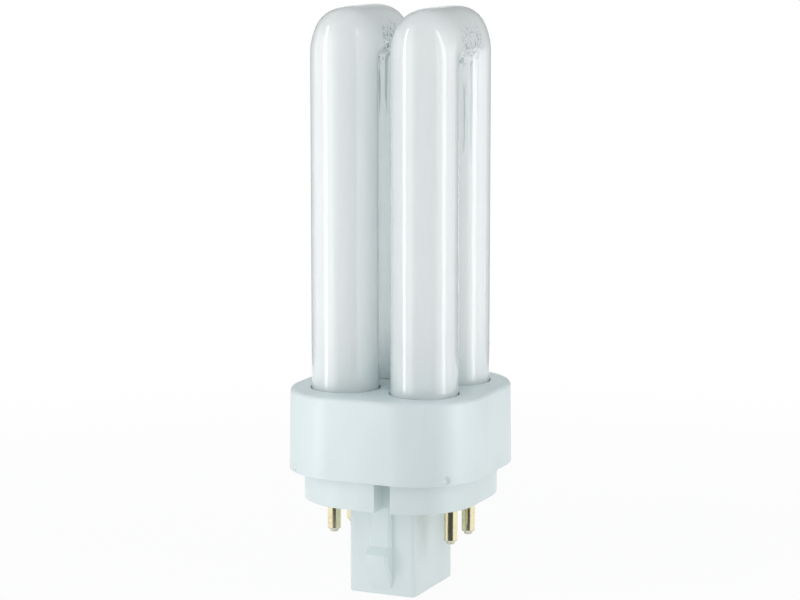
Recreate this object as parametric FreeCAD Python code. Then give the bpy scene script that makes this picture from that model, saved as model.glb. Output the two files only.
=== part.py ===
import FreeCAD, Part
import math
import os

# Plug-in compact fluorescent lamp: two U-shaped glass tubes side by side in a moulded base with a
# rectangular post and four contact pins. Millimetres. The origin is the centre of the post's flat
# end, +Z runs up to the crowns of the tubes, and X runs along the wider pin spacing.

# Glass tubes
TUBE_DIAMETER = 11.8
LEG_GAP = 2.3               # between the two legs of one U, along Y
U_GAP = 3.3                 # between the two U's, along X
TUBE_RISE = 66.45           # collar's top face to the top of the crown
CROWN_DEPTH = 8.7           # top of the crown down to the bend between the legs
CROWN_WAIST = 6.7           # top of the crown down to its widest line
CROWN_SQUARENESS = 4.6      # exponent of the crown's outline: 2 is an ellipse, more is squarer
CROWN_SECTIONS = 17         # sections that the bend is drawn through
LEG_ROOT = 8.0              # leg's length below the collar's top face
BRIDGE_DIAMETER = 4.4
BRIDGE_LIFT = 3.4           # leg's end to the axis of the bridge
SEAL_WIDTH = 7.0
SEAL_THICKNESS = 2.2
SEAL_LENGTH = 3.0

# Collar
COLLAR_MARGIN = 4.35        # tubes' outer sides to the collar's outer walls
COLLAR_WALL = 1.9
COLLAR_CORNER = 12.0
COLLAR_HEIGHT = 14.5
COLLAR_ROOF = 2.0
COLLAR_TOP_ROUND = 0.8
TUBE_CLEARANCE = 0.25
STOP_RIB_WIDTH = 1.4
STOP_RIB_SPACING = 13.0
DIMPLE_WIDTH = 1.5
DIMPLE_DEPTH = 0.6
DIMPLE_LIFT = 1.0           # collar's lower edge to the dimple's centre
DIMPLE_TURN = 2.0           # degrees from a corner's middle

# Cap: rim, floor and post
CAP_CORNER = 11.8
CAP_RIM_HEIGHT = 5.4        # part of the cap that shows below the collar
CAP_SKIRT = 5.5             # part of the cap that reaches up into the collar
CAP_WALL = 1.5
CAP_FLOOR = 2.2
CAP_FIT = 0.1               # clearance between the skirt and the collar
BAND_WIDTH = 3.7
BAND_RAISE = 0.4
BAND_SHIFT = 0.3            # band's middle, off the rib's
NOTCH_WIDTH = 2.75
NOTCH_DEPTH = 3.3
NOTCH_WALL = 1.2
POST_WIDTH = 12.6           # along X
POST_DEPTH = 16.6           # along Y
POST_LENGTH = 16.65         # flat end to the cap's underside
POST_CHAMFER = 0.7
POST_END_CHAMFER = 0.3
POST_WALL = 1.4
POST_END_WALL = 1.6

# Snap ribs on the two broad ends of the post
RIB_WIDTH = 4.2
RIB_RAISE = 1.1
RIB_PEAK_RAISE = 2.7
RIB_STRAIGHT = 7.75         # length below the cap's underside before the ramp
RIB_PEAK = 8.95             # cap's underside to the peak
RIB_PEAK_LENGTH = 1.5       # flat length of the peak
RIB_END = 15.7              # cap's underside to where the taper meets the post
RIB_EDGE_CHAMFER = 0.45

# Contact pins and their wires
PIN_INSET = 4.5             # cap's side walls to the pins' axes, which puts them 22.6 apart along X
PIN_SPACING_Y = 8.0
PIN_DIAMETER = 2.35
PIN_REACH = 7.3             # below the cap's underside
PIN_STEM_WIDTH = 2.4        # square stem, which keeps a pin from turning in the cap's floor
PIN_TAIL = 0.8              # stem's length above the cap's floor
PIN_NECK_LENGTH = 0.5
PIN_NECK_DIAMETER = 1.5
WIRE_DIAMETER = 0.6
WIRE_SPACING = 3.6          # between the two wires of one seal
WIRE_LEAD = 1.4             # straight length of a wire above its pin

# Basing cement
CEMENT_DEPTH = 5.0
CEMENT_COVER = 0.2          # outside the legs at each corner of the block

# Levels and places worked out from the sizes above
LEG_SPACING = TUBE_DIAMETER + LEG_GAP
U_SPACING = TUBE_DIAMETER + U_GAP
COLLAR_WIDTH = U_SPACING + TUBE_DIAMETER + 2 * COLLAR_MARGIN
CAP_WIDTH = COLLAR_WIDTH - 2 * (COLLAR_WALL + CAP_FIT)
PIN_SPACING_X = CAP_WIDTH - 2 * PIN_INSET
CAP_UNDERSIDE = POST_LENGTH
CAP_FLOOR_TOP = CAP_UNDERSIDE + CAP_FLOOR
COLLAR_FOOT = CAP_UNDERSIDE + CAP_RIM_HEIGHT
CAP_TOP = COLLAR_FOOT + CAP_SKIRT
COLLAR_TOP = COLLAR_FOOT + COLLAR_HEIGHT
ROOF_UNDERSIDE = COLLAR_TOP - COLLAR_ROOF
LEG_END = COLLAR_TOP - LEG_ROOT
CROWN_TOP = COLLAR_TOP + TUBE_RISE
BEND_CENTRE = CROWN_TOP - CROWN_DEPTH - LEG_GAP / 2
SEAL_END = LEG_END - SEAL_LENGTH
PIN_TOP = CAP_FLOOR_TOP + PIN_TAIL
TUBE_RADIUS = TUBE_DIAMETER / 2

OVERLAP = 0.5               # how far a cutting or joining tool runs past a face
ROUND_STEPS = 3             # bands that make up the collar's rounded top edge
X_AXIS = FreeCAD.Vector(1, 0, 0)
Y_AXIS = FreeCAD.Vector(0, 1, 0)
Z_AXIS = FreeCAD.Vector(0, 0, 1)


def point(x, y, z):
    return FreeCAD.Vector(x, y, z)


def box(x_range, y_range, z_range):
    """A block between two limits along each axis."""
    lows, highs = zip(x_range, y_range, z_range)
    sizes = [high - low for low, high in zip(lows, highs)]
    return Part.makeBox(*sizes, point(*lows))


def rod(radius, x, y, z_low, z_high):
    """An upright cylinder."""
    return Part.makeCylinder(radius, z_high - z_low, point(x, y, z_low), Z_AXIS)


def octagon(half_width, x, z):
    """An upright eight-sided face that looks along X."""
    reach = half_width / math.cos(math.pi / 8)
    angles = [math.pi * (2 * step + 1) / 8 for step in range(9)]
    return Part.Face(Part.makePolygon([point(x, reach * math.cos(a), z + reach * math.sin(a)) for a in angles]))


def rounded_square(width, corner, z):
    """A closed outline with straight sides and round corners, centred on the Z axis."""
    half = width / 2
    flat = half - corner
    edges = []
    for quarter in range(4):
        turn = FreeCAD.Rotation(Z_AXIS, 90 * quarter)
        side = [turn.multVec(p) for p in (point(half, -flat, z), point(half, flat, z))]
        edges.append(Part.LineSegment(*side).toShape())
        diagonal = flat + corner / math.sqrt(2)
        corner_points = (point(half, flat, z), point(diagonal, diagonal, z), point(flat, half, z))
        edges.append(Part.Arc(*[turn.multVec(p) for p in corner_points]).toShape())
    return Part.Wire(edges)


def rounded_prism(width, corner, z_low, z_high):
    """A straight block on the rounded square outline."""
    face = Part.Face(rounded_square(width, corner, z_low))
    return face.extrude(point(0, 0, z_high - z_low))


def level_edges(shape, z):
    """The edges that lie wholly at one level."""
    return [edge for edge in shape.Edges
            if abs(edge.BoundBox.ZMin - z) < 1e-3 and abs(edge.BoundBox.ZMax - z) < 1e-3]


def half_turn(shape):
    """The shape turned by 180 degrees about the lamp's axis."""
    return shape.rotated(point(0, 0, 0), Z_AXIS, 180)


# Places of the legs and the pins

def leg_places():
    return [(sx * U_SPACING / 2, sy * LEG_SPACING / 2) for sx in (-1, 1) for sy in (-1, 1)]


def pin_places():
    """The side names of each pin with its place."""
    places = {}
    for depth_name, sy in (("front", -1), ("back", 1)):
        for side_name, sx in (("left", -1), ("right", 1)):
            places[f"{depth_name}_{side_name}"] = (sx * PIN_SPACING_X / 2, sy * PIN_SPACING_Y / 2)
    return places


# Glass

def squarish(angle, reach, height):
    """Distance from the centre of a squarish arch to its outline, at an angle from the horizontal."""
    n = CROWN_SQUARENESS
    return ((abs(math.cos(angle)) / reach) ** n + (math.sin(angle) / height) ** n) ** (-1 / n)


def bend_section(x, angle):
    """The tube's section where the bend has turned by an angle, in a plane through the bend's centre.

    It is round where the legs end and flattens towards the middle of the crown.
    """
    along = point(0, -math.cos(angle), math.sin(angle))
    inner = LEG_GAP / 2
    waist = squarish(angle, LEG_SPACING / 2, CROWN_TOP - CROWN_WAIST - BEND_CENTRE)
    outer = squarish(angle, LEG_SPACING / 2 + TUBE_RADIUS, CROWN_TOP - BEND_CENTRE)
    centre = point(x, 0, BEND_CENTRE) + along * waist
    halves = []
    for start_angle, depth in ((0, outer - waist), (math.pi, waist - inner)):
        arc = Part.Arc(Part.Circle(), start_angle, start_angle + math.pi).toShape()
        side = X_AXIS * TUBE_RADIUS
        place = FreeCAD.Matrix(side.x, along.x * depth, 0, centre.x,
                               side.y, along.y * depth, 0, centre.y,
                               side.z, along.z * depth, 1, centre.z,
                               0, 0, 0, 1)
        halves.append(arc.transformGeometry(place))
    return Part.Wire(halves)


def crown(x):
    """The squarish bend that joins the two legs, drawn through its sections."""
    steps = CROWN_SECTIONS - 1
    sections = [bend_section(x, math.pi * step / steps) for step in range(CROWN_SECTIONS)]
    return Part.makeLoft(sections, True, True)


def tube_leg(x, y):
    """One straight leg with its closed lower end."""
    return rod(TUBE_RADIUS, x, y, LEG_END, BEND_CENTRE)


def u_tube(x):
    """One U: two legs and the crown."""
    legs = [tube_leg(x, y) for y in (-LEG_SPACING / 2, LEG_SPACING / 2)]
    return crown(x).fuse(legs).removeSplitter()


def electrode_seal(x):
    """The flat pinch that closes the front leg of a U, where its wires come out."""
    y = -LEG_SPACING / 2
    half_x, half_y = SEAL_THICKNESS / 2, SEAL_WIDTH / 2
    return box((x - half_x, x + half_x), (y - half_y, y + half_y), (SEAL_END, LEG_END + OVERLAP))


def discharge_tube():
    left, right = -U_SPACING / 2, U_SPACING / 2
    bridge = Part.makeCylinder(BRIDGE_DIAMETER / 2, U_SPACING,
                               point(left, LEG_SPACING / 2, LEG_END + BRIDGE_LIFT), X_AXIS)
    pieces = [u_tube(right), electrode_seal(left), electrode_seal(right), bridge]
    return u_tube(left).fuse(pieces).removeSplitter()


# Collar

def collar_form():
    """The outer form, drawn through outlines: upright walls and a rounded top edge."""
    outlines = [rounded_square(COLLAR_WIDTH, COLLAR_CORNER, COLLAR_FOOT)]
    for step in range(ROUND_STEPS + 1):
        angle = math.radians(90 * step / ROUND_STEPS)
        inset = COLLAR_TOP_ROUND * (1 - math.cos(angle))
        z = COLLAR_TOP - COLLAR_TOP_ROUND * (1 - math.sin(angle))
        outlines.append(rounded_square(COLLAR_WIDTH - 2 * inset, COLLAR_CORNER - inset, z))
    return Part.makeLoft(outlines, True, True)


def collar_shell():
    """The outer form hollowed from below."""
    return collar_form().cut(collar_cavity(COLLAR_FOOT - OVERLAP))


def collar_cavity(z_low):
    """The hollow that the cap's skirt slides into, up to the underside of the roof."""
    return rounded_prism(CAP_WIDTH + 2 * CAP_FIT, CAP_CORNER + CAP_FIT, z_low, ROOF_UNDERSIDE)


def stop_ribs():
    """Two upright ribs on each inner wall, whose lower ends stop the cap's skirt."""
    outer = CAP_WIDTH / 2 + CAP_FIT + OVERLAP
    inner = CAP_WIDTH / 2 - CAP_WALL
    ribs = []
    for offset in (-STOP_RIB_SPACING / 2, STOP_RIB_SPACING / 2):
        y_range = (offset - STOP_RIB_WIDTH / 2, offset + STOP_RIB_WIDTH / 2)
        rib = box((inner, outer), y_range, (CAP_TOP, ROOF_UNDERSIDE + OVERLAP))
        for quarter in range(4):
            ribs.append(rib.rotated(point(0, 0, 0), Z_AXIS, 90 * quarter))
    return ribs


def staking_dimples():
    """One shallow eight-sided punch mark low on each corner."""
    surface = math.sqrt(2) * (COLLAR_WIDTH / 2 - COLLAR_CORNER) + COLLAR_CORNER
    bottom = octagon(DIMPLE_WIDTH / 2, surface - DIMPLE_DEPTH, COLLAR_FOOT + DIMPLE_LIFT)
    mark = bottom.extrude(X_AXIS * (DIMPLE_DEPTH + OVERLAP))
    return [mark.rotated(point(0, 0, 0), Z_AXIS, 45 + DIMPLE_TURN + 90 * quarter) for quarter in range(4)]


def collar():
    holes = [rod(TUBE_RADIUS + TUBE_CLEARANCE, x, y, ROOF_UNDERSIDE - OVERLAP, COLLAR_TOP + OVERLAP)
             for x, y in leg_places()]
    body = collar_shell().fuse(stop_ribs()).removeSplitter()
    return body.cut(holes + staking_dimples())


# Cap

def post_outline():
    """The post's rectangle with its four chamfered corners."""
    half_x, half_y, cut = POST_WIDTH / 2, POST_DEPTH / 2, POST_CHAMFER
    quarter = [(half_x, -half_y + cut), (half_x, half_y - cut), (half_x - cut, half_y)]
    corners = quarter + [(-half_x + cut, half_y)]
    corners += [(-x, -y) for x, y in corners]
    return [point(x, y, 0) for x, y in corners]


def post():
    outline = post_outline()
    face = Part.Face(Part.makePolygon(outline + outline[:1]))
    block = face.extrude(Z_AXIS * (CAP_UNDERSIDE + OVERLAP))
    return block.makeChamfer(POST_END_CHAMFER, level_edges(block, 0))


def snap_rib():
    """The front rib: a straight band, a ramp out to a flat peak and a long taper back to the post."""
    wall = -POST_DEPTH / 2
    profile = [
        (wall + OVERLAP, CAP_UNDERSIDE + OVERLAP),
        (wall - RIB_RAISE, CAP_UNDERSIDE + OVERLAP),
        (wall - RIB_RAISE, CAP_UNDERSIDE - RIB_STRAIGHT),
        (wall - RIB_PEAK_RAISE, CAP_UNDERSIDE - RIB_PEAK),
        (wall - RIB_PEAK_RAISE, CAP_UNDERSIDE - RIB_PEAK - RIB_PEAK_LENGTH),
        (wall, CAP_UNDERSIDE - RIB_END),
        (wall + OVERLAP, CAP_UNDERSIDE - RIB_END),
    ]
    corners = [point(-RIB_WIDTH / 2, y, z) for y, z in profile]
    rib = Part.Face(Part.makePolygon(corners + corners[:1])).extrude(X_AXIS * RIB_WIDTH)
    front_edges = [e for e in rib.Edges if e.BoundBox.YMax < wall + 1e-3 and e.BoundBox.XLength < 1e-3]
    return rib.makeChamfer(RIB_EDGE_CHAMFER, front_edges)


def rim_band():
    """The raised band on the rim above the snap rib."""
    wall = -CAP_WIDTH / 2
    sides = (BAND_SHIFT - BAND_WIDTH / 2, BAND_SHIFT + BAND_WIDTH / 2)
    return box(sides, (wall - BAND_RAISE, wall + OVERLAP),
               (CAP_UNDERSIDE, COLLAR_FOOT))


def notch_block(wall):
    """The key notch beside the band, or with a wall thickness its pocket inside the cap."""
    edge = BAND_SHIFT + BAND_WIDTH / 2
    front = -CAP_WIDTH / 2
    return box((edge - wall, edge + NOTCH_WIDTH + wall),
               (front - BAND_RAISE - OVERLAP, front + NOTCH_DEPTH + wall),
               (CAP_UNDERSIDE - OVERLAP, COLLAR_FOOT + wall))


def cap_hollow():
    """The inside of the rim and skirt, left clear of the two notch pockets."""
    corner = CAP_CORNER - CAP_WALL
    inside = rounded_prism(CAP_WIDTH - 2 * CAP_WALL, corner, CAP_FLOOR_TOP, CAP_TOP + OVERLAP)
    pocket = notch_block(NOTCH_WALL)
    return inside.cut([pocket, half_turn(pocket)])


def post_hollow():
    half_x, half_y = POST_WIDTH / 2 - POST_WALL, POST_DEPTH / 2 - POST_WALL
    return box((-half_x, half_x), (-half_y, half_y), (POST_END_WALL, CAP_FLOOR_TOP + OVERLAP))


def cap():
    rim = rounded_prism(CAP_WIDTH, CAP_CORNER, CAP_UNDERSIDE, CAP_TOP)
    added = [post(), snap_rib(), half_turn(snap_rib()), rim_band(), half_turn(rim_band())]
    notch = notch_block(0)
    holes = [pin_stem(x, y, CAP_UNDERSIDE - OVERLAP, CAP_FLOOR_TOP + OVERLAP)
             for x, y in pin_places().values()]
    removed = [cap_hollow(), post_hollow(), notch, half_turn(notch)] + holes
    return rim.fuse(added).removeSplitter().cut(removed)


# Pins, wires and cement

def pin_stem(x, y, z_low, z_high):
    """The square stem of a pin, or the tool for its hole."""
    half = PIN_STEM_WIDTH / 2
    return box((x - half, x + half), (y - half, y + half), (z_low, z_high))


def contact_pin(x, y):
    """A brass pin with a narrow tip and a round shank, its square stem pressed through the cap's floor."""
    tip = CAP_UNDERSIDE - PIN_REACH
    neck = rod(PIN_NECK_DIAMETER / 2, x, y, tip, CAP_UNDERSIDE)
    shank = rod(PIN_DIAMETER / 2, x, y, tip + PIN_NECK_LENGTH, CAP_UNDERSIDE)
    stem = pin_stem(x, y, CAP_UNDERSIDE - OVERLAP, PIN_TOP)
    return shank.fuse([neck, stem]).removeSplitter()


def lead_wire(x, y):
    """A stiff wire with one kink, from the middle of the pin at this place up to an electrode seal."""
    side = math.copysign(1, x)
    rank = math.copysign(1, y)
    start = point(x, y, PIN_TOP)
    seal = point(side * U_SPACING / 2, -LEG_SPACING / 2 + rank * WIRE_SPACING / 2, SEAL_END)
    section = Part.Wire(Part.makeCircle(WIRE_DIAMETER / 2, start, Z_AXIS))
    mitred_corners = 1
    route = Part.makePolygon([start, start + Z_AXIS * WIRE_LEAD, seal + Z_AXIS * OVERLAP])
    wire = route.makePipeShell([section], True, False, mitred_corners)
    above_seal = box((-CAP_WIDTH, CAP_WIDTH), (-CAP_WIDTH, CAP_WIDTH), (SEAL_END, CROWN_TOP))
    return wire.cut(above_seal)


def basing_cement(glass):
    """The block of cement under the collar's roof, set round the legs and between the stop ribs."""
    half = CAP_WIDTH / 2 - CAP_WALL
    legs_reach = (U_SPACING + LEG_SPACING) / 2 + math.sqrt(2) * (TUBE_RADIUS + CEMENT_COVER)
    corner = 2 * half - legs_reach
    fill = box((-half, half), (-half, half), (ROOF_UNDERSIDE - CEMENT_DEPTH, ROOF_UNDERSIDE))
    upright = [edge for edge in fill.Edges if edge.BoundBox.ZLength > CEMENT_DEPTH - OVERLAP]
    return fill.makeChamfer(corner, upright).cut(glass)


def build():
    """Every piece of the lamp by its name."""
    glass = discharge_tube()
    pieces = {
        "discharge_tube": glass,
        "collar": collar(),
        "cap": cap(),
        "basing_cement": basing_cement(glass),
    }
    for place, (x, y) in pin_places().items():
        pieces[f"contact_pin_{place}"] = contact_pin(x, y)
        pieces[f"lead_wire_{place}"] = lead_wire(x, y)
    return pieces


os.makedirs("parts", exist_ok=True)
for name, shape in build().items():
    solid = shape.Solids[0]
    solid.exportStep(f"parts/{name}.step")
    print(name, "solids:", len(shape.Solids), "valid:", solid.isValid(), "mm3:", round(solid.Volume, 1))
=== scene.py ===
import math

import bpy
from bpy.props import FloatProperty, FloatVectorProperty, IntProperty, PointerProperty
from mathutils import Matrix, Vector


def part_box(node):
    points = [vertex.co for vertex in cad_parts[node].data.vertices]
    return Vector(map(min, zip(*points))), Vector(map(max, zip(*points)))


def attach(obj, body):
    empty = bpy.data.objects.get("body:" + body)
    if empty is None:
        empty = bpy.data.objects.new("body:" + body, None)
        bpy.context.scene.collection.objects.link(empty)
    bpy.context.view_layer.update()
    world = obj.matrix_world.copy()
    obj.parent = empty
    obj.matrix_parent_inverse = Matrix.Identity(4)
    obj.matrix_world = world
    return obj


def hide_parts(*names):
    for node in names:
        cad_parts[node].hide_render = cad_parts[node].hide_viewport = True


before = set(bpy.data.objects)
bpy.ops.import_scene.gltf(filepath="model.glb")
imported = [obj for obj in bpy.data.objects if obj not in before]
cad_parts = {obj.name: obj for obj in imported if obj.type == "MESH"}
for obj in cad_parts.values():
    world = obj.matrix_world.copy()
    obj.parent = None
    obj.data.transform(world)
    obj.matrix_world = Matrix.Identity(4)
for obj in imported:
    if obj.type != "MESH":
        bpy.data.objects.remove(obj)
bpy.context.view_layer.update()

bl_info = {
    "name": "Plug-in fluorescent lamp",
    "version": (1, 0, 0),
    "blender": (4, 5, 0),
    "location": "3D View > Sidebar > Lamp",
    "description": "Builds the tubes, collar, cap and pins of a plug-in fluorescent lamp on its CAD frame",
    "category": "Object",
}

# Lengths are in metres. Points closer than SAME_POINT are merged, and after a cut points closer than SLIVER.
# A lap is how far a cutting tool or a joined piece goes past a face.
MM = 0.001
SAME_POINT = 0.000001
SLIVER = 0.00003
LAP = 0.0005
LONG_LAP = 0.001
ORIGIN = (0.0, 0.0, 0.0)
PIN_NODES = sorted(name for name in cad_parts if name.startswith("contact_pin_"))
WIRE_NODES = sorted(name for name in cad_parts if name.startswith("lead_wire_"))
TUBE_LOW, TUBE_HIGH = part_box("discharge_tube")
COLLAR_LOW, COLLAR_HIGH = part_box("collar")
CAP_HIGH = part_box("cap")[1]
PIN_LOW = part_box(PIN_NODES[0])[0]


# Sizes and colours

def length(name, millimetres, description):
    """A length property given in millimetres."""
    return FloatProperty(name=name, description=description, default=millimetres * MM, min=0.0,
                         unit="LENGTH", precision=5)


def tint(name, description, colour):
    """A colour property in linear light."""
    return FloatVectorProperty(name=name, description=description, default=colour, size=3,
                               min=0.0, max=1.0, subtype="COLOR")


class LampGlassSizes(bpy.types.PropertyGroup):
    """Sizes of the two U-shaped tubes, their bridge and their seals."""
    tube_diameter: length("Tube diameter", 11.8, "Outside diameter of the glass")
    leg_gap: length("Leg gap", 2.3, "Space between the two legs of one U")
    crown_depth: length("Crown depth", 8.7, "Top of the crown down to the bend between the legs")
    crown_waist: length("Crown waist", 6.7, "Top of the crown down to its widest line")
    crown_squareness: FloatProperty(
        name="Crown squareness", default=4.6, min=2.0, max=12.0,
        description="Exponent of the crown's outline, where 2 is an ellipse")
    crown_rings: IntProperty(
        name="Crown rings", default=48, min=8, max=96, description="Rings of faces round the bend")
    leg_end_round: length("Leg end rounding", 1.0, "Rounding at the closed lower end of a leg")
    seal_width: length("Seal width", 7.0, "Broad side of the flat seal under a front leg")
    seal_thickness: length("Seal thickness", 2.2, "Narrow side of the flat seal")
    seal_length: length("Seal length", 3.0, "Leg's end to the end of the seal")
    bridge_diameter: length("Bridge diameter", 4.4, "Short tube that joins the two U's")
    bridge_lift: length("Bridge lift", 3.4, "Leg's end to the axis of the bridge")


class LampBaseSizes(bpy.types.PropertyGroup):
    """Sizes of the collar, the cap and the pins."""
    collar_corner: length("Collar corner", 12.0, "Radius of the collar's upright corners")
    collar_draft: length("Collar draft", 0.2, "Inward lean of each wall over the collar's height")
    collar_top_round: length("Collar top rounding", 0.8, "Radius of the collar's top edge")
    collar_roof: length("Collar roof", 2.0, "Thickness of the collar's top")
    tube_clearance: length("Tube clearance", 0.25, "Space round a leg in its hole")
    stop_rib_width: length("Stop rib width", 1.4, "Width of the ribs that stop the cap's skirt")
    stop_rib_spacing: length("Stop rib spacing", 13.0, "Distance between two ribs on one wall")
    dimple_diameter: length("Dimple diameter", 1.5, "Punch mark low on each corner of the collar")
    dimple_depth: length("Dimple depth", 0.5, "Depth of a punch mark")
    dimple_lift: length("Dimple lift", 1.0, "Collar's lower edge to the middle of a punch mark")
    dimple_turn: FloatProperty(
        name="Dimple turn", default=math.radians(2.0), min=0.0, max=math.radians(20.0), subtype="ANGLE",
        description="Turn of a punch mark from the middle of its corner")
    cap_corner: length("Cap corner", 11.8, "Radius of the cap's upright corners")
    cap_width: length("Cap width", 31.6, "Side of the cap's rounded square")
    cap_wall: length("Cap wall", 1.5, "Thickness of the cap's rim and skirt")
    cap_floor: length("Cap floor", 2.2, "Thickness of the cap's floor")
    cap_fit: length("Cap fit", 0.1, "Space between the cap's skirt and the collar")
    rim_height: length("Rim height", 5.4, "Part of the cap that shows below the collar")
    band_width: length("Band width", 3.7, "Raised band on the rim")
    band_raise: length("Band raise", 0.4, "How far the band stands out")
    band_shift: length("Band shift", 0.3, "Middle of the band, off the middle of the snap rib")
    notch_width: length("Notch width", 2.75, "Key notch beside the band")
    notch_depth: length("Notch depth", 3.3, "How far the notch reaches in")
    notch_wall: length("Notch wall", 1.2, "Plastic round the notch inside the cap")
    post_width: length("Post width", 12.6, "Post along X")
    post_depth: length("Post depth", 16.6, "Post along Y")
    post_chamfer: length("Post chamfer", 0.7, "Chamfer on the post's upright corners")
    post_wall: length("Post wall", 1.4, "Thickness of the post's sides")
    post_end_wall: length("Post end wall", 1.6, "Thickness of the post's flat end")
    rib_width: length("Snap rib width", 4.2, "Width of the snap rib")
    rib_raise: length("Snap rib raise", 1.1, "Height of the rib's straight part")
    rib_peak_raise: length("Snap rib peak", 2.7, "Height of the rib's peak")
    rib_straight: length("Snap rib straight", 7.75, "Cap's underside to the start of the ramp")
    rib_peak: length("Snap rib peak place", 8.95, "Cap's underside to the peak")
    rib_peak_length: length("Snap rib peak length", 1.5, "Flat length of the peak")
    rib_end: length("Snap rib end", 15.7, "Cap's underside to the end of the taper")
    rib_edge_chamfer: length("Snap rib edge chamfer", 0.45, "Chamfer along the two outer edges of a snap rib")
    pin_neck: length("Pin neck diameter", 1.5, "Narrow tip of a pin")
    pin_neck_length: length("Pin neck length", 0.5, "Length of the narrow tip")
    edge_round: length("Edge rounding", 0.13, "Small rounding on the moulded edges")


class LampColours(bpy.types.PropertyGroup):
    """Colours of the finishes."""
    coating: tint("Coating", "White powder inside the glass", (0.820, 0.905, 0.915))
    collar: tint("Collar", "Pale moulded plastic of the collar", (0.750, 0.832, 0.840))
    cap: tint("Cap", "Pale moulded plastic of the cap", (0.750, 0.832, 0.836))
    brass: tint("Brass", "Bright metal of the pins", (0.880, 0.820, 0.560))
    cement: tint("Cement", "Baked cement under the collar", (0.720, 0.700, 0.640))
    wire: tint("Wire", "Nickelled lead wire", (0.620, 0.620, 0.600))


# Node trees

# Sockets of the Mix node when it mixes colours
COLOUR_MIX_AMOUNT, COLOUR_MIX_FIRST, COLOUR_MIX_SECOND = 0, 6, 7
COLOUR_MIX_RESULT = 2
TARNISHED = (0.62, 0.52, 0.27)
SOLDER = (0.62, 0.61, 0.56)


class Value:
    """One output socket. Arithmetic on it adds Math nodes."""

    def __init__(self, recipe, socket):
        self.recipe = recipe
        self.socket = socket

    def maths(self, operation, *values):
        return self.recipe.node("ShaderNodeMath", {"operation": operation}, dict(enumerate(values)))

    def __add__(self, other):
        return self.maths("ADD", self, other)

    __radd__ = __add__

    def __mul__(self, other):
        return self.maths("MULTIPLY", self, other)

    def __sub__(self, other):
        return self.maths("SUBTRACT", self, other)

    def __rsub__(self, other):
        return self.maths("SUBTRACT", other, self)

    def __pow__(self, other):
        return self.maths("POWER", self, other)

    def __abs__(self):
        return self.maths("ABSOLUTE", self)

    def held(self):
        """The value kept between 0 and 1."""
        return self.recipe.node("ShaderNodeClamp", {}, {"Value": self})

    def most(self, other):
        """The greater of two values."""
        return self.maths("MAXIMUM", self, other)


class Recipe:
    """The node tree of a material or of the world."""

    def __init__(self, owner):
        owner.use_nodes = True
        self.tree = owner.node_tree
        self.tree.nodes.clear()

    def node(self, kind, settings, inputs, output=0):
        """Adds a node with its settings, fills its sockets and gives one of its outputs."""
        made = self.tree.nodes.new(kind)
        for key, value in settings.items():
            setattr(made, key, value)
        for key, value in inputs.items():
            self.fill(made.inputs[key], value)
        return Value(self, made.outputs[output]) if made.outputs else None

    def fill(self, socket, entry):
        """Links a value to a socket, or sets the socket to a number or a colour."""
        if isinstance(entry, Value):
            self.tree.links.new(entry.socket, socket)
        else:
            socket.default_value = entry

    def place(self):
        """Object coordinates."""
        return self.node("ShaderNodeTexCoord", {}, {}, "Object")

    def axes(self):
        """The X, Y and Z object coordinates as values."""
        parts = self.node("ShaderNodeSeparateXYZ", {}, {"Vector": self.place()})
        outputs = parts.socket.node.outputs
        return [Value(self, outputs[name]) for name in ("X", "Y", "Z")]

    def stretched(self, scale):
        """Object coordinates stretched along the axes."""
        return self.node("ShaderNodeMapping", {}, {"Vector": self.place(), "Scale": scale})

    def noise(self, scale, detail=2.0, roughness=0.5, vector=None, distortion=0.0):
        """Soft noise between 0 and 1."""
        return self.node("ShaderNodeTexNoise", {}, {
            "Vector": vector or self.place(), "Scale": scale, "Detail": detail,
            "Roughness": roughness, "Distortion": distortion}, "Fac")

    def cells(self, scale):
        """Distance from the middle of the nearest cell."""
        return self.node("ShaderNodeTexVoronoi", {}, {"Vector": self.place(), "Scale": scale}, "Distance")

    def between(self, low, high, value):
        """A smooth step from 0 at low to 1 at high."""
        return self.node("ShaderNodeMapRange", {"interpolation_type": "SMOOTHSTEP"},
                         {"Value": value, "From Min": low, "From Max": high})

    def blend(self, amount, first, second):
        """A mix of two colours."""
        def colour(entry):
            return entry if isinstance(entry, Value) else (*entry, 1.0)
        return self.node("ShaderNodeMix", {"data_type": "RGBA"}, {
            COLOUR_MIX_AMOUNT: amount, COLOUR_MIX_FIRST: colour(first), COLOUR_MIX_SECOND: colour(second)},
            COLOUR_MIX_RESULT)

    def mixed_shaders(self, amount, first, second):
        """A mix of two shaders."""
        return self.node("ShaderNodeMixShader", {}, {"Fac": amount, 1: first, 2: second})

    def sky(self, colour, strength):
        """An even background light."""
        return self.node("ShaderNodeBackground", {}, {"Color": (*colour, 1.0), "Strength": strength})

    def bump(self, height, distance, strength):
        """A bent normal from a height."""
        return self.node("ShaderNodeBump", {}, {
            "Height": height, "Distance": distance, "Strength": strength})

    def surface(self, inputs):
        """A Principled surface joined to the material's output."""
        shader = self.node("ShaderNodeBsdfPrincipled", {}, inputs)
        self.node("ShaderNodeOutputMaterial", {}, {"Surface": shader})


def shade(colour, amount):
    """The colour made darker or lighter by a factor."""
    return tuple(min(1.0, part * amount) for part in colour)


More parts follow.
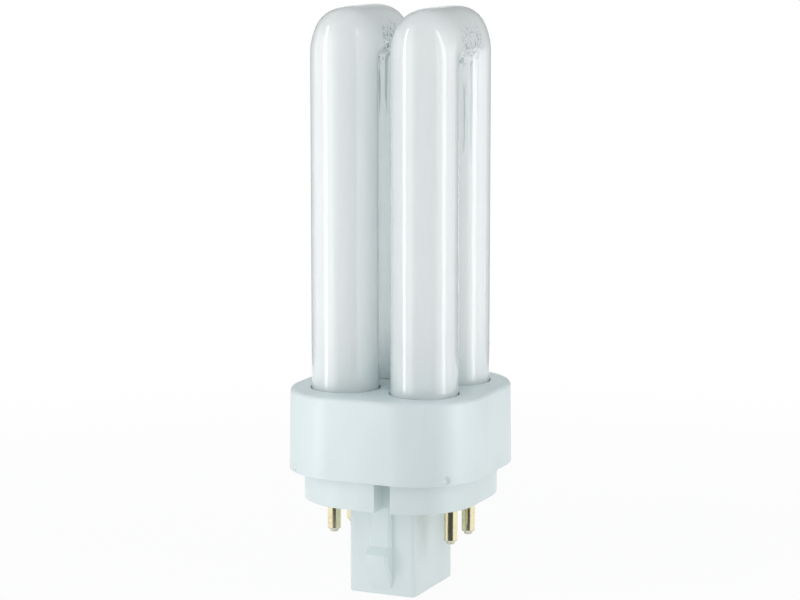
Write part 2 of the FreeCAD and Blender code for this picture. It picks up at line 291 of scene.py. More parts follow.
def glass_finish(colours, sizes):
    """Clear glass over a white powder coating, with rippled glass at the tight inner bend; painted shade
    darkens the bend's crease and the rims, and painted dark reflections lie at the bend and down the legs'
    inner sides.
    """
    material = bpy.data.materials.new("coated_glass")
    mix = Recipe(material)
    base = tuple(colours.coating)
    _, y, z = mix.axes()
    cloud = mix.noise(60.0, 3.0, 0.55, mix.stretched((1.0, 1.0, 0.25)))
    powder = mix.noise(2600.0, 2.0, 0.6)
    streak = mix.noise(420.0, 2.0, 0.5, mix.stretched((1.0, 1.0, 0.03)))
    bend_z = TUBE_HIGH.z - sizes.crown_depth
    inside = mix.between(5.5 * MM, 2.0 * MM, abs(y))
    near_bend = mix.between(5.0 * MM, 1.0 * MM, abs(z - bend_z - 2.2 * MM)) * inside
    fades_down = mix.between(bend_z - 34.0 * MM, bend_z - 4.0 * MM, z)
    fades_up = mix.between(bend_z + 3.0 * MM, bend_z + 1.0 * MM, z)
    trail = fades_down * fades_up * inside
    reflection_squiggles = mix.between(0.53, 0.60, mix.noise(760.0, 3.0, 0.6, mix.stretched((1.0, 1.0, 0.7)), 2.0))
    drawn = mix.between(0.56, 0.62, mix.noise(1100.0, 2.0, 0.5, mix.stretched((1.0, 1.0, 0.05))))
    thin_coat = mix.between(0.42, 0.75, cloud) * 0.45 + streak * 0.2 + powder * 0.12
    colour = mix.blend(thin_coat.held(), shade(base, 1.03), shade(base, 0.93))
    # Painted shade: the coating is darker in the crease of the inner bend.
    colour = mix.blend(near_bend * 0.25, colour, shade(base, 0.80))
    # Painted dark reflections of the crumpled glass: squiggles at the inner bend and thin lines down the
    # inner sides of the legs.
    marks = near_bend * reflection_squiggles + trail * drawn * 0.7
    colour = mix.blend(marks.held(), colour, shade(base, 0.28))
    # Painted shade: the colour darkens where the surface turns away from the camera, at the rims of the
    # tubes.
    painted_rim_shade = mix.node("ShaderNodeLayerWeight", {}, {"Blend": 0.5}, "Facing")
    colour = mix.blend(mix.between(0.50, 0.95, painted_rim_shade) * 0.5, colour, shade(base, 0.72))
    ripple = mix.noise(900.0, 3.0, 0.55, mix.stretched((1.0, 0.6, 1.0)), 1.2)
    draw = mix.noise(130.0, 2.0, 0.4, mix.stretched((1.0, 1.0, 0.06)))
    height = ripple * near_bend + draw * 0.10 + powder * 0.006
    shared = {
        "Base Color": colour, "Roughness": 0.42 + powder * 0.10, "Normal": mix.bump(height, 0.3 * MM, 0.6),
        "Specular IOR Level": 0.25, "Coat Weight": 1.0, "Coat Roughness": 0.05, "Coat IOR": 1.8,
        "Subsurface Weight": 1.0, "Subsurface Radius": (1.0, 1.0, 1.0)}
    shaders = [mix.node("ShaderNodeBsdfPrincipled", {}, {**shared, "Subsurface Scale": scale})
               for scale in (10.0 * MM, 40.0 * MM)]
    above_collar = mix.between(COLLAR_HIGH.z - 1.0 * MM, COLLAR_HIGH.z + 10.0 * MM, z)
    both = mix.mixed_shaders(above_collar, *shaders)
    mix.node("ShaderNodeOutputMaterial", {}, {"Surface": both})
    return material


def plastic_finish(name, colour, roughness, grain):
    """Satin moulded plastic with faint flow marks, small dark specks and a fine skin."""
    material = bpy.data.materials.new(name)
    mix = Recipe(material)
    base = tuple(colour)
    flow = mix.noise(75.0, 3.0, 0.5, mix.stretched((1.0, 1.0, 0.5)), 0.8)
    skin = mix.noise(grain, 3.0, 0.6)
    specks = mix.between(0.10, 0.04, mix.cells(520.0)) * mix.between(0.56, 0.64, mix.noise(210.0))
    tone = mix.blend(mix.between(0.35, 0.68, flow), shade(base, 1.015), shade(base, 0.965))
    tone = mix.blend(specks * 0.10, tone, shade(base, 0.85))
    gloss = roughness + (flow - 0.5) * 0.08 + (skin - 0.5) * 0.04
    height = skin * 0.15 + flow * 0.25 - specks * 0.2
    mix.surface({
        "Base Color": tone, "Roughness": gloss, "Normal": mix.bump(height, 0.01 * MM, 0.10),
        "Specular IOR Level": 1.0})
    return material


def brass_finish(colours):
    """Bright drawn brass with fine lines along the pin, a soldered tip and a trace of tarnish."""
    material = bpy.data.materials.new("pin_brass")
    mix = Recipe(material)
    base = tuple(colours.brass)
    z = mix.axes()[2]
    lines = mix.noise(2600.0, 2.0, 0.6, mix.stretched((1.0, 1.0, 0.03)))
    tarnish = mix.noise(700.0, 3.0, 0.6)
    tip = mix.between(PIN_LOW.z + 1.1 * MM, PIN_LOW.z + 0.6 * MM, z)
    tone = mix.blend(mix.between(0.48, 0.72, tarnish) * 0.30, base, TARNISHED)
    tone = mix.blend(tip * 0.75, tone, SOLDER)
    gloss = 0.13 + lines * 0.08 + mix.between(0.5, 0.75, tarnish) * 0.10 + tip * 0.18
    height = lines * 0.6 + tip * tarnish * 2.0
    mix.surface({
        "Base Color": tone, "Metallic": 1.0, "Roughness": gloss,
        "Normal": mix.bump(height, 0.02 * MM, 0.35)})
    return material


def cement_finish(colours):
    """Dull baked cement with grains and small pores, with painted shade in the pores."""
    material = bpy.data.materials.new("cement")
    mix = Recipe(material)
    base = tuple(colours.cement)
    grains = mix.noise(1500.0, 4.0, 0.65)
    pores = mix.between(0.22, 0.05, mix.cells(900.0))
    tone = mix.blend(grains, shade(base, 1.12), shade(base, 0.78))
    # Painted shade: the pores are darker.
    tone = mix.blend(pores * 0.6, tone, shade(base, 0.5))
    mix.surface({
        "Base Color": tone, "Roughness": 0.82 + grains * 0.12,
        "Normal": mix.bump(grains - pores, 0.2 * MM, 0.7), "Specular IOR Level": 0.3})
    return material


def wire_finish(colours):
    """Nickelled wire with drawn lines and darker spots."""
    material = bpy.data.materials.new("wire_metal")
    mix = Recipe(material)
    base = tuple(colours.wire)
    lines = mix.noise(3000.0, 2.0, 0.5, mix.stretched((1.0, 1.0, 0.08)))
    spots = mix.between(0.55, 0.75, mix.noise(800.0, 3.0, 0.6))
    tone = mix.blend(spots * 0.5, base, shade(base, 0.7))
    mix.surface({
        "Base Color": tone, "Metallic": 1.0, "Roughness": 0.28 + lines * 0.15,
        "Normal": mix.bump(lines, 0.02 * MM, 0.4)})
    return material


# Modelling

CORNER_SEGMENTS = 24
LEG_SIDES = 96
PIN_SIDES = 48
FLAT_ANGLE = math.radians(0.4)
SHARP_ANGLE = math.radians(50.0)


def begin():
    """Leaves edit mode and deselects everything."""
    if bpy.context.object and bpy.context.object.mode != "OBJECT":
        bpy.ops.object.mode_set(mode="OBJECT")
    bpy.ops.object.select_all(action="DESELECT")


def only(piece):
    """Makes one piece the selected and active one, in object mode."""
    begin()
    piece.select_set(True)
    bpy.context.view_layer.objects.active = piece


def settle(name):
    """Names the new object and moves its place and scale into its mesh."""
    piece = bpy.context.object
    piece.name = piece.data.name = name
    bpy.ops.object.transform_apply(location=True, rotation=True, scale=True)
    return piece


def block(name, low, high):
    """A cuboid between two corners."""
    begin()
    low, high = Vector(low), Vector(high)
    bpy.ops.mesh.primitive_cube_add(size=1.0, location=(low + high) / 2, scale=high - low)
    return settle(name)


def circle(name, radius, place, sides, fill):
    """A round outline, filled with a face (NGON) or left open (NOTHING)."""
    begin()
    bpy.ops.mesh.primitive_circle_add(vertices=sides, radius=radius, fill_type=fill, location=place)
    return settle(name)


def choose(piece, kind, test):
    """Goes into edit mode and selects only the edges or faces whose points pass a test."""
    only(piece)
    mesh = piece.data
    for group in (mesh.vertices, mesh.edges, mesh.polygons):
        group.foreach_set("select", [False] * len(group))
    for part in (mesh.edges if kind == "EDGE" else mesh.polygons):
        part.select = test([mesh.vertices[index].co for index in part.vertices])
    bpy.context.tool_settings.mesh_select_mode = (False, kind == "EDGE", kind == "FACE")
    bpy.ops.object.mode_set(mode="EDIT")


def everything(points):
    """A test that all points pass."""
    return True


def at_level(z):
    """A test for points that all lie at one height."""
    return lambda points: all(abs(p.z - z) < SAME_POINT for p in points)


def upright(points):
    """A test for edges along Z."""
    a, b = points
    return abs(a.x - b.x) + abs(a.y - b.y) < SAME_POINT < abs(a.z - b.z)


def soften(piece, test, width, segments):
    """Bevels the edges that pass a test."""
    choose(piece, "EDGE", test)
    bpy.ops.mesh.bevel(offset=width, segments=segments, affect="EDGES", clamp_overlap=False)
    bpy.ops.object.mode_set(mode="OBJECT")


def push(offset, scale=1.0, centre=ORIGIN):
    """Extrudes what is selected, then moves and scales it."""
    bpy.ops.mesh.extrude_region_move(TRANSFORM_OT_translate={"value": offset})
    if scale != 1.0:
        bpy.ops.transform.resize(value=(scale, scale, 1.0), center_override=centre)


def tidy(piece, gap=SAME_POINT):
    """Merges doubled points and turns every face outwards."""
    only(piece)
    bpy.ops.object.mode_set(mode="EDIT")
    bpy.ops.mesh.select_all(action="SELECT")
    bpy.ops.mesh.remove_doubles(threshold=gap)
    bpy.ops.mesh.normals_make_consistent(inside=False)
    bpy.ops.object.mode_set(mode="OBJECT")


def modify(piece, kind, **settings):
    """Adds a modifier and applies it."""
    only(piece)
    modifier = piece.modifiers.new(kind.title(), kind)
    for key, value in settings.items():
        setattr(modifier, key, value)
    bpy.ops.object.modifier_apply(modifier=modifier.name)


def combine(piece, tools, operation):
    """Joins the tools to the piece, or cuts them from it, and removes them."""
    for tool in tools:
        modify(piece, "BOOLEAN", operation=operation, solver="EXACT", object=tool)
        bpy.data.objects.remove(tool)


def turned_copy(piece, quarters):
    """A copy turned by some quarter turns about the lamp's axis."""
    only(piece)
    bpy.ops.object.duplicate(linked=False)
    bpy.ops.transform.rotate(value=quarters * math.pi / 2, orient_axis="Z", center_override=ORIGIN)
    return settle(f"{piece.name}_{quarters}")


def two_ways(piece):
    """The piece on the back of the lamp, by half a turn, and on the front."""
    return [turned_copy(piece, 2), piece]


def four_ways(piece):
    """The piece and its copies on the other three sides or corners."""
    return [piece] + [turned_copy(piece, quarters) for quarters in (1, 2, 3)]


def rounded_block(name, width, corner, low, high):
    """A straight block on a square with round corners."""
    half = width / 2
    piece = block(name, (-half, -half, low), (half, half, high))
    soften(piece, upright, corner, CORNER_SEGMENTS)
    return piece


def turned(name, profile, place, sides):
    """A round solid built up from radius and height pairs, from the bottom."""
    radius, height = profile[0]
    piece = circle(name, radius, (*place, height), sides, "NGON")
    choose(piece, "FACE", everything)
    for next_radius, next_height in profile[1:]:
        push((0.0, 0.0, next_height - height), next_radius / radius, (*place, next_height))
        radius, height = next_radius, next_height
    tidy(piece)
    return piece


def join_flats(piece):
    """Joins the faces that lie in one plane, so that no needless point is left on a sharp edge."""
    choose(piece, "FACE", everything)
    bpy.ops.mesh.dissolve_limited(angle_limit=FLAT_ANGLE)
    bpy.ops.object.mode_set(mode="OBJECT")


def round_edges(piece, width):
    """Rounds every sharp edge a little."""
    choose(piece, "EDGE", lambda points: False)
    bpy.ops.mesh.edges_select_sharp(sharpness=SHARP_ANGLE)
    bpy.ops.transform.edge_bevelweight(value=1.0)
    bpy.ops.object.mode_set(mode="OBJECT")
    modify(piece, "BEVEL", width=width, segments=2, limit_method="WEIGHT", use_clamp_overlap=False,
           miter_outer="MITER_ARC")
    tidy(piece)


def finish(piece, material, nodes, smooth):
    """Gives a piece its finish, its body and the CAD nodes it stands for."""
    only(piece)
    bpy.ops.object.shade_smooth_by_angle(angle=math.radians(smooth))
    modify(piece, "WEIGHTED_NORMAL", mode="FACE_AREA", weight=50, keep_sharp=True)
    piece.data.materials.clear()
    piece.data.materials.append(material)
    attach(piece, "root")
    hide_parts(*nodes)


# Glass

# Points no higher than this above the bend's centre belong to the straight legs
BEND_FOOT = 0.0000001
LEG_END_SEGMENTS = 5
SEAL_LAP = 0.2 * MM
SEAL_ROUND = 0.5 * MM
SEAL_SEGMENTS = 3
BRIDGE_LAP = 0.6 * MM
BRIDGE_FLARE = 0.5 * MM
BRIDGE_FLARE_LENGTH = 1.0 * MM
BRIDGE_SIDES = 48
GLASS_SMOOTH = 40.0


def leg_places(glass):
    """Half the distances between the legs' axes, along X and along Y."""
    return TUBE_HIGH.x - glass.tube_diameter / 2, (glass.tube_diameter + glass.leg_gap) / 2


def leg_end(glass):
    """Height of the legs' closed lower ends."""
    return TUBE_LOW.z + glass.seal_length


def bend_centre(glass):
    """Height about which a U is bent."""
    return TUBE_HIGH.z - glass.crown_depth - glass.leg_gap / 2


def shape_crown(piece, glass):
    """Draws the plain half ring out to the squarish crown."""
    radius = glass.tube_diameter / 2
    half_spacing = leg_places(glass)[1]
    centre_z = bend_centre(glass)
    power = glass.crown_squareness

    def reach(angle, side, top):
        across, up = abs(math.cos(angle)) / side, abs(math.sin(angle)) / top
        return (across ** power + up ** power) ** (-1 / power)

    waist_top = TUBE_HIGH.z - glass.crown_waist - centre_z
    outer_top = TUBE_HIGH.z - centre_z
    for vertex in piece.data.vertices:
        y, z = vertex.co.y, vertex.co.z - centre_z
        if z < BEND_FOOT:
            continue
        angle = math.atan2(z, -y)
        depth = (math.hypot(y, z) - half_spacing) / radius
        waist = reach(angle, half_spacing, waist_top)
        outer = reach(angle, half_spacing + radius, outer_top)
        span = outer - waist if depth > 0 else waist - glass.leg_gap / 2
        distance = waist + depth * span
        vertex.co.y = -math.cos(angle) * distance
        vertex.co.z = centre_z + math.sin(angle) * distance


def u_tube(name, x, glass):
    """One U, drawn out from a ring: up the front leg, round the bend and down the back leg."""
    low, centre_z = leg_end(glass), bend_centre(glass)
    piece = circle(name, glass.tube_diameter / 2, (x, -leg_places(glass)[1], low), LEG_SIDES, "NOTHING")
    choose(piece, "EDGE", everything)
    push((0.0, 0.0, centre_z - low))
    bpy.ops.mesh.spin(steps=glass.crown_rings, angle=math.pi, center=(x, 0.0, centre_z), axis=(1.0, 0.0, 0.0))
    push((0.0, 0.0, low - centre_z))
    tidy(piece)
    for side in (-1, 1):
        choose(piece, "EDGE", lambda points: at_level(low)(points) and all(p.y * side > 0 for p in points))
        bpy.ops.mesh.edge_face_add()
    tidy(piece)
    soften(piece, at_level(low), glass.leg_end_round, LEG_END_SEGMENTS)
    shape_crown(piece, glass)
    tidy(piece)
    return piece


class LAMP_OT_glass(bpy.types.Operator):
    """Builds the two U-shaped tubes, the bridge between them and the flat seals of the front legs"""
    bl_idname = "lamp.glass"
    bl_label = "Glass tubes"

    def execute(self, context):
        glass = context.scene.lamp_glass
        material = glass_finish(context.scene.lamp_colours, glass)
        half_x, half_y = leg_places(glass)
        low = leg_end(glass)
        pieces = [u_tube("glass_u_left", -half_x, glass), u_tube("glass_u_right", half_x, glass)]
        thick, wide = glass.seal_thickness / 2, glass.seal_width / 2
        for name, x in (("glass_seal_left", -half_x), ("glass_seal_right", half_x)):
            seal = block(name, (x - thick, -half_y - wide, TUBE_LOW.z),
                         (x + thick, -half_y + wide, low + SEAL_LAP))
            soften(seal, everything, SEAL_ROUND, SEAL_SEGMENTS)
            tidy(seal)
            pieces.append(seal)
        reach = half_x - glass.tube_diameter / 2 + BRIDGE_LAP
        radius = glass.bridge_diameter / 2
        bridge = turned("glass_bridge", [
            (radius + BRIDGE_FLARE, -reach), (radius, -reach + BRIDGE_FLARE_LENGTH),
            (radius, reach - BRIDGE_FLARE_LENGTH), (radius + BRIDGE_FLARE, reach)], (0.0, 0.0), BRIDGE_SIDES)
        only(bridge)
        bpy.ops.transform.rotate(value=math.pi / 2, orient_axis="Y", center_override=ORIGIN)
        bpy.ops.transform.translate(value=(0.0, half_y, low + glass.bridge_lift))
        pieces.append(settle("glass_bridge"))
        for piece in pieces:
            finish(piece, material, ["discharge_tube"], GLASS_SMOOTH)
        return {"FINISHED"}


# Collar

TOP_ROUND_SEGMENTS = 8
LEG_HOLE_REACH = 4.0 * MM
# Radius of the ball that cuts a dimple, as a share of the dimple's diameter
DIMPLE_BALL = 0.62
DIMPLE_SIDES = 32
PLASTIC_SMOOTH = 30.0


class LAMP_OT_collar(bpy.types.Operator):
    """Builds the collar round the legs of the tubes"""
    bl_idname = "lamp.collar"
    bl_label = "Collar"

    def execute(self, context):
        base, glass = context.scene.lamp_base, context.scene.lamp_glass
        low, high = COLLAR_LOW.z, COLLAR_HIGH.z
        width = COLLAR_HIGH.x - COLLAR_LOW.x
        collar = rounded_block("collar_shell", width, base.collar_corner, low, high)
        choose(collar, "FACE", at_level(high))
        taper = 1 - 2 * base.collar_draft / width
        bpy.ops.transform.resize(value=(taper, taper, 1.0), center_override=(0.0, 0.0, high))
        soften(collar, at_level(high), base.collar_top_round, TOP_ROUND_SEGMENTS)
        roof = high - base.collar_roof
        hollow_width = base.cap_width + 2 * base.cap_fit
        cuts = [rounded_block("hollow", hollow_width, base.cap_corner + base.cap_fit, low - LONG_LAP, roof)]
        half_x, half_y = leg_places(glass)
        radius = glass.tube_diameter / 2 + base.tube_clearance
        for x in (-half_x, half_x):
            for y in (-half_y, half_y):
                cuts.append(turned("leg_hole", [(radius, high - LEG_HOLE_REACH), (radius, high + LONG_LAP)],
                                   (x, y), LEG_SIDES))
        combine(collar, cuts, "DIFFERENCE")
        ribs = []
        wall, thick = hollow_width / 2, base.stop_rib_width / 2
        for offset in (-base.stop_rib_spacing / 2, base.stop_rib_spacing / 2):
            rib = block("stop_rib", (wall - base.cap_wall - base.cap_fit, offset - thick, CAP_HIGH.z),
                        (wall + LAP, offset + thick, roof + LAP))
            ribs += four_ways(rib)
        combine(collar, ribs, "UNION")
        tidy(collar, SLIVER)
        round_edges(collar, base.edge_round)
        corner = math.sqrt(2) * (width / 2 - base.collar_corner) + base.collar_corner
        ball = base.dimple_diameter * DIMPLE_BALL
        begin()
        turn = -math.pi / 4 - base.dimple_turn
        bpy.ops.mesh.primitive_uv_sphere_add(
            segments=DIMPLE_SIDES, ring_count=DIMPLE_SIDES // 2, radius=ball,
            location=(corner + ball - base.dimple_depth, 0.0, low + base.dimple_lift))
        bpy.ops.transform.rotate(value=turn, orient_axis="Z", center_override=ORIGIN)
        combine(collar, four_ways(settle("dimple")), "DIFFERENCE")
        tidy(collar)
        plastic = plastic_finish("collar_plastic", context.scene.lamp_colours.collar,
                                 roughness=0.36, grain=2600.0)
        finish(collar, plastic, ["collar"], PLASTIC_SMOOTH)
        return {"FINISHED"}


# Cap

POST_SEGMENTS = 3
POST_END_ROUND = 0.3 * MM
BAND_LAP = 0.6 * MM
# An edge of the rib counts as an outer one from this far off the post
RIB_EDGE_RAISE = 0.9 * MM


def snap_rib(base):
    """The front snap rib: a straight band, a ramp to its flat peak and a taper back to the post."""
    top = COLLAR_LOW.z - base.rim_height
    wall = -base.post_depth / 2
    half = base.rib_width / 2
    rib = block("snap_rib", (-half, wall - base.rib_raise, top - base.rib_straight),
                (half, wall + LONG_LAP, top + LONG_LAP))
    reached = base.rib_straight
    peak_end = base.rib_peak + base.rib_peak_length
    for next_reach, raised in ((base.rib_peak, base.rib_peak_raise), (peak_end, base.rib_peak_raise),
                               (base.rib_end, 0.0)):
        choose(rib, "FACE", at_level(top - reached))
        push((0.0, 0.0, reached - next_reach))
        bpy.ops.object.mode_set(mode="OBJECT")
        for vertex in rib.data.vertices:
            if vertex.co.z < top - next_reach + SAME_POINT and vertex.co.y < wall + SAME_POINT:
                vertex.co.y = wall - raised
        reached = next_reach

    def outer_edge(points):
        a, b = points
        off_post = max(a.y, b.y) < wall + SAME_POINT and min(a.y, b.y) < wall - RIB_EDGE_RAISE
        return off_post and abs(a.x - b.x) < SAME_POINT

    soften(rib, outer_edge, base.rib_edge_chamfer, 1)
    tidy(rib)
    return rib


class LAMP_OT_cap(bpy.types.Operator):
    """Builds the cap: rim, skirt, key notches, post and snap ribs"""
    bl_idname = "lamp.cap"
    bl_label = "Cap"

    def execute(self, context):
        base = context.scene.lamp_base
        under = COLLAR_LOW.z - base.rim_height
        foot = COLLAR_LOW.z
        floor_top = under + base.cap_floor
        half = base.cap_width / 2
        cap = rounded_block("cap_shell", base.cap_width, base.cap_corner, under, CAP_HIGH.z)
        half_x, half_y = base.post_width / 2, base.post_depth / 2
        post = block("post", (-half_x, -half_y, 0.0), (half_x, half_y, under + LAP))
        soften(post, upright, base.post_chamfer, POST_SEGMENTS)
        soften(post, at_level(0.0), POST_END_ROUND, POST_SEGMENTS)
        edge = base.band_shift + base.band_width / 2
        band = block("band", (edge - base.band_width, -half - base.band_raise, under),
                     (edge, -half + BAND_LAP, foot))
        combine(cap, [post] + two_ways(snap_rib(base)) + two_ways(band), "UNION")

        def notch(name, wall):
            return block(name, (edge - wall, -half - base.band_raise - LAP, under - LAP),
                         (edge + base.notch_width + wall, -half + base.notch_depth + wall, foot + wall))

        inside = rounded_block("inside", base.cap_width - 2 * base.cap_wall, base.cap_corner - base.cap_wall,
                               floor_top, CAP_HIGH.z + LAP)
        combine(inside, two_ways(notch("pocket", base.notch_wall)), "DIFFERENCE")
        wall = base.post_wall
        shaft = block("shaft", (wall - half_x, wall - half_y, base.post_end_wall),
                      (half_x - wall, half_y - wall, floor_top + LAP))
        cuts = [inside, shaft] + two_ways(notch("notch", 0.0))
        for node in PIN_NODES:
            low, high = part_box(node)
            centre = (low + high) / 2
            radius = (high.x - low.x) / 2
            cuts.append(turned("pin_hole", [(radius, under - LAP), (radius, floor_top + LAP)],
                               (centre.x, centre.y), PIN_SIDES))
        combine(cap, cuts, "DIFFERENCE")
        tidy(cap, SLIVER)
        join_flats(cap)
        round_edges(cap, base.edge_round)
        plastic = plastic_finish("cap_plastic", context.scene.lamp_colours.cap,
                                 roughness=0.34, grain=2200.0)
        finish(cap, plastic, ["cap"], PLASTIC_SMOOTH)
        return {"FINISHED"}


# Pins, wires and cement

# Share of the neck's radius, height above the pin's tip
NECK_TIP = ((0.55, 0.0), (0.86, 0.06 * MM), (1.0, 0.18 * MM))
# How much smaller the radius is than the shank's, height above the neck's foot
SHOULDER = ((0.22 * MM, 0.04 * MM), (0.08 * MM, 0.12 * MM), (0.0, 0.32 * MM))
NECK_FOOT_RISE = 0.1 * MM
NECK_FOOT_FLARE = 0.06 * MM
PIN_TOP_CHAMFER = 0.15 * MM
PIN_SMOOTH = 40.0


class LAMP_OT_pins(bpy.types.Operator):
    """Turns one contact pin for each CAD pin"""
    bl_idname = "lamp.pins"
    bl_label = "Contact pins"

    def execute(self, context):
        base = context.scene.lamp_base
        material = brass_finish(context.scene.lamp_colours)
        for node in PIN_NODES:
            low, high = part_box(node)
            centre = (low + high) / 2
            shank, neck = (high.x - low.x) / 2, base.pin_neck / 2
            neck_foot = low.z + base.pin_neck_length
            profile = [(neck * share, low.z + height) for share, height in NECK_TIP]
            profile += [(neck, neck_foot - NECK_FOOT_RISE), (neck + NECK_FOOT_FLARE, neck_foot)]
            profile += [(shank - inset, neck_foot + height) for inset, height in SHOULDER]
            profile += [(shank, high.z - PIN_TOP_CHAMFER), (shank - PIN_TOP_CHAMFER, high.z)]
            pin = turned(node.replace("contact_pin", "brass_pin"), profile, (centre.x, centre.y), PIN_SIDES)
            finish(pin, material, [node], PIN_SMOOTH)
        return {"FINISHED"}


class LAMP_OT_inner_parts(bpy.types.Operator):
    """Gives the cement and the lead wires their finishes"""
    bl_idname = "lamp.inner_parts"
    bl_label = "Cement and wires"

    def execute(self, context):
        colours = context.scene.lamp_colours
        cement, wire = cement_finish(colours), wire_finish(colours)
        for name, material in [("basing_cement", cement)] + [(node, wire) for node in WIRE_NODES]:
            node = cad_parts[name]
            node.data.materials.clear()
            node.data.materials.append(material)
        return {"FINISHED"}


# Stage

CAMERA_PLACE = (0.1892, -0.4215, 0.1257)
CAMERA_AZIMUTH = 24.2
CAMERA_PITCH = 9.14
CAMERA_LENS = 119.6
CAMERA_SENSOR = 36.0
CAMERA_CLIP = 0.01
FLOOR_SIDE = 8.0
CARD_LIFT = 0.5 * MM
PAPER_FIBRE, PAPER_GROUND = (0.86, 0.87, 0.87), (0.90, 0.91, 0.91)
WHITE = (1.0, 1.0, 1.0)
COOL = (0.93, 0.98, 1.0)
COOL_LOW = (0.95, 0.99, 1.0)
# Name, angle, distance, width, height, radiance, seen in reflections
PANELS = (
    ("left_panel", -52.0, 0.14, 0.120, 0.21, 0.42, True),
    ("left_strip", -66.0, 0.13, 0.022, 0.18, 2.7, True),
    ("left_fill", -100.0, 0.25, 0.20, 0.20, 0.45, False),
    ("right_panel", 74.0, 0.13, 0.105, 0.21, 0.36, True),
    ("right_strip", 64.0, 0.125, 0.03, 0.18, 1.5, True),
    ("front_fill", 2.0, 0.35, 0.14, 0.30, 1.30, False),
    ("back_light", 180.0, 0.30, 0.45, 0.30, 0.95, False),
)
# Nearest and farthest line on the floor, half the angle it spreads over, height of the upright part
DARK_CARD = (0.03, 0.30, 40.0, 0.35)
# Name, angle, distance, width, height, grey
SIDE_CARDS = (
    ("left_card", -146.0, 0.22, 0.22, 0.30, 0.30),
    ("right_card", 146.0, 0.22, 0.22, 0.30, 0.30),
)


def facing(angle):
    """Unit vector from the lamp at an angle to the right of the direction to the camera."""
    turn = math.radians(CAMERA_AZIMUTH + angle)
    return Vector((math.sin(turn), -math.cos(turn), 0.0))


def soft_panel(name, angle, distance, width, height, radiance, mirrored):
    """A soft lamp panel that stands on the floor and faces the lamp's axis. The camera doesn't see it."""
    data = bpy.data.lights.new(name, "AREA")
    data.shape = "RECTANGLE"
    data.size, data.size_y = width, height
    data.energy = radiance * math.pi * width * height
    panel = bpy.data.objects.new(name, data)
    bpy.context.scene.collection.objects.link(panel)
    away = facing(angle) * distance
    panel.location = away + Vector((0.0, 0.0, height / 2))
    panel.rotation_euler = (-away).to_track_quat("-Z", "Y").to_euler()
    panel.visible_camera = False
    panel.visible_glossy = mirrored


def only_reflected(card, name, grey):
    """Gives a stage card its finish and leaves it to be seen in reflections alone."""
    material = bpy.data.materials.new(name)
    mix = Recipe(material)
    dull = tuple(grey * part for part in (1.0, 1.0, 0.96))
    cloudy = mix.blend(mix.noise(40.0), shade(dull, 0.9), shade(dull, 1.1))
    mix.surface({"Base Color": cloudy, "Roughness": 0.8})
    card.data.materials.append(material)
    for ray in ("camera", "diffuse", "transmission", "volume_scatter", "shadow"):
        setattr(card, f"visible_{ray}", False)


def dark_card(near, far, spread, height):
    """A dark card on the camera's side, which lies on the floor and turns up at its far end."""
    begin()
    bpy.ops.mesh.primitive_plane_add(size=1.0, location=ORIGIN)
    card = settle("dark_card")
    for vertex in card.data.vertices:
        reach = far if vertex.co.y < 0 else near
        side = reach * math.tan(math.radians(spread))
        vertex.co = (math.copysign(side, vertex.co.x), -reach, CARD_LIFT)
    choose(card, "EDGE", lambda points: all(abs(p.y + far) < SAME_POINT for p in points))
    push((0.0, 0.0, height))
    bpy.ops.object.mode_set(mode="OBJECT")
    card.rotation_euler.z = math.radians(CAMERA_AZIMUTH)
    only_reflected(card, "card_black", 0.06)


def side_card(name, angle, distance, width, height, grey):
    """An upright card beside the lamp, which darkens the rims of the tubes."""
    begin()
    bpy.ops.mesh.primitive_plane_add(size=1.0, location=ORIGIN)
    bpy.context.object.scale = (width, height, 1.0)
    card = settle(name)
    away = facing(angle) * distance
    card.location = away + Vector((0.0, 0.0, height / 2))
    card.rotation_euler = (-away).to_track_quat("Z", "Y").to_euler()
    only_reflected(card, name, grey)


def plain_rays(mix):
    """1 for rays that see the stage directly, in a mirror or through glass, else 0."""
    path = mix.node("ShaderNodeLightPath", {}, {})
    outputs = path.socket.node.outputs
    seen = [Value(mix, outputs[name]) for name in ("Is Camera Ray", "Is Glossy Ray", "Is Transmission Ray")]
    return seen[0].most(seen[1]).most(seen[2])


def lay_floor():
    """A pale paper floor that looks almost white and still takes soft shadows."""
    begin()
    bpy.ops.mesh.primitive_plane_add(size=FLOOR_SIDE, location=ORIGIN)
    floor = settle("floor")
    material = bpy.data.materials.new("floor_paper")
    mix = Recipe(material)
    fibres = mix.noise(900.0, 3.0, 0.6)
    paper = mix.node("ShaderNodeBsdfPrincipled", {}, {
        "Base Color": mix.blend(fibres, PAPER_FIBRE, PAPER_GROUND), "Roughness": 0.9,
        "Specular IOR Level": 0.1})
    glow = mix.node("ShaderNodeEmission", {}, {"Color": (*WHITE, 1.0), "Strength": 1.0})
    x, y, _ = mix.axes()
    distance = (x * x + y * y) ** 0.5
    share = 0.91 + mix.between(0.05, 0.25, distance) * 0.09
    both = mix.mixed_shaders((plain_rays(mix) * 0.6 + 0.4) * share, paper, glow)
    mix.node("ShaderNodeOutputMaterial", {}, {"Surface": both})
    floor.data.materials.append(material)


def light_world(scene):
    """Soft sky light on the lamp, and a white room that the camera and mirrors see."""
    world = bpy.data.worlds.new("studio")
    scene.world = world
    mix = Recipe(world)
    level = plain_rays(mix)
    around = mix.node("ShaderNodeTexCoord", {}, {}, "Generated")
    height = mix.node("ShaderNodeSeparateXYZ", {}, {"Vector": around}, "Z")
    soft = mix.mixed_shaders(mix.between(0.1, 0.8, height), mix.sky(COOL_LOW, 0.36), mix.sky(COOL, 0.58))
    camera_ray = mix.node("ShaderNodeLightPath", {}, {}, "Is Camera Ray")
    ceiling = mix.between(0.03, 0.35, height) * (1 - camera_ray)
    seen = mix.mixed_shaders(ceiling, mix.sky(WHITE, 1.0), mix.sky(COOL, 0.35))
    both = mix.mixed_shaders(level, soft, seen)
    mix.node("ShaderNodeOutputWorld", {}, {"Surface": both})


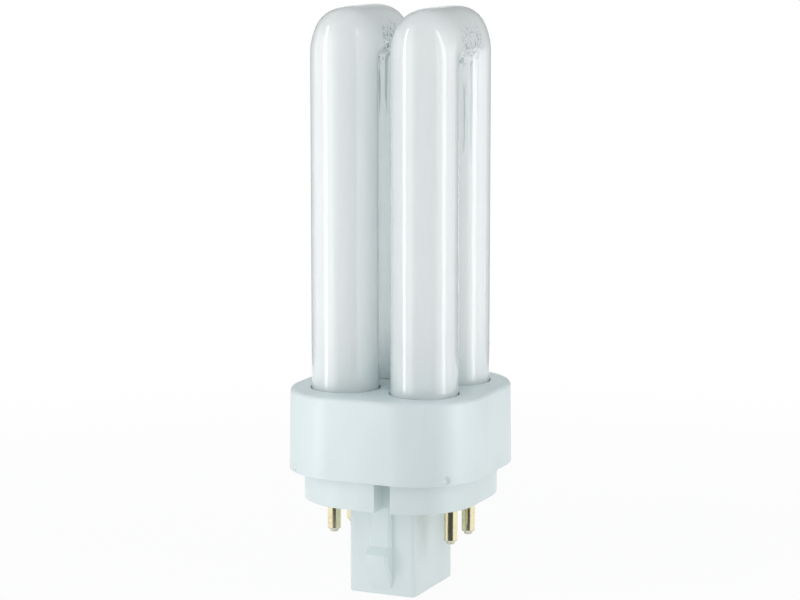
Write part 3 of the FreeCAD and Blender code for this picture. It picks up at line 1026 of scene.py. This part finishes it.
def place_camera(scene):
    """The camera that was fitted to the photo."""
    data = bpy.data.cameras.new("camera")
    data.lens, data.sensor_width, data.sensor_fit = CAMERA_LENS, CAMERA_SENSOR, "HORIZONTAL"
    data.clip_start = CAMERA_CLIP
    camera = bpy.data.objects.new("camera", data)
    scene.collection.objects.link(camera)
    camera.location = CAMERA_PLACE
    camera.rotation_euler = (math.radians(90.0 - CAMERA_PITCH), 0.0, math.radians(CAMERA_AZIMUTH))
    scene.camera = camera


class LAMP_OT_stage(bpy.types.Operator):
    """Sets up the pale floor, the soft lamps, the world and the camera"""
    bl_idname = "lamp.stage"
    bl_label = "Stage"

    def execute(self, context):
        lay_floor()
        light_world(context.scene)
        for panel in PANELS:
            soft_panel(*panel)
        dark_card(*DARK_CARD)
        for card in SIDE_CARDS:
            side_card(*card)
        place_camera(context.scene)
        context.scene.view_settings.view_transform = "Standard"
        return {"FINISHED"}


# Panel and registration

BUILDERS = (LAMP_OT_glass, LAMP_OT_collar, LAMP_OT_cap, LAMP_OT_pins, LAMP_OT_inner_parts, LAMP_OT_stage)
GROUPS = {"lamp_glass": LampGlassSizes, "lamp_base": LampBaseSizes, "lamp_colours": LampColours}


class LAMP_PT_panel(bpy.types.Panel):
    """Lists the lamp's sizes, colours and builders"""
    bl_label = "Fluorescent lamp"
    bl_idname = "LAMP_PT_panel"
    bl_space_type = "VIEW_3D"
    bl_region_type = "UI"
    bl_category = "Lamp"

    def draw(self, context):
        for attribute, group in GROUPS.items():
            column = self.layout.column(align=True)
            for entry in group.__annotations__:
                column.prop(getattr(context.scene, attribute), entry)
        for builder in BUILDERS:
            self.layout.operator(builder.bl_idname)


def register():
    for entry in (*GROUPS.values(), *BUILDERS, LAMP_PT_panel):
        bpy.utils.register_class(entry)
    for attribute, group in GROUPS.items():
        setattr(bpy.types.Scene, attribute, PointerProperty(type=group))


def unregister():
    for attribute in GROUPS:
        delattr(bpy.types.Scene, attribute)
    for entry in (LAMP_PT_panel, *reversed(BUILDERS), *reversed(tuple(GROUPS.values()))):
        bpy.utils.unregister_class(entry)


def main():
    register()
    bpy.ops.lamp.glass()
    bpy.ops.lamp.collar()
    bpy.ops.lamp.cap()
    bpy.ops.lamp.pins()
    bpy.ops.lamp.inner_parts()
    bpy.ops.lamp.stage()


if __name__ == "__main__":
    main()
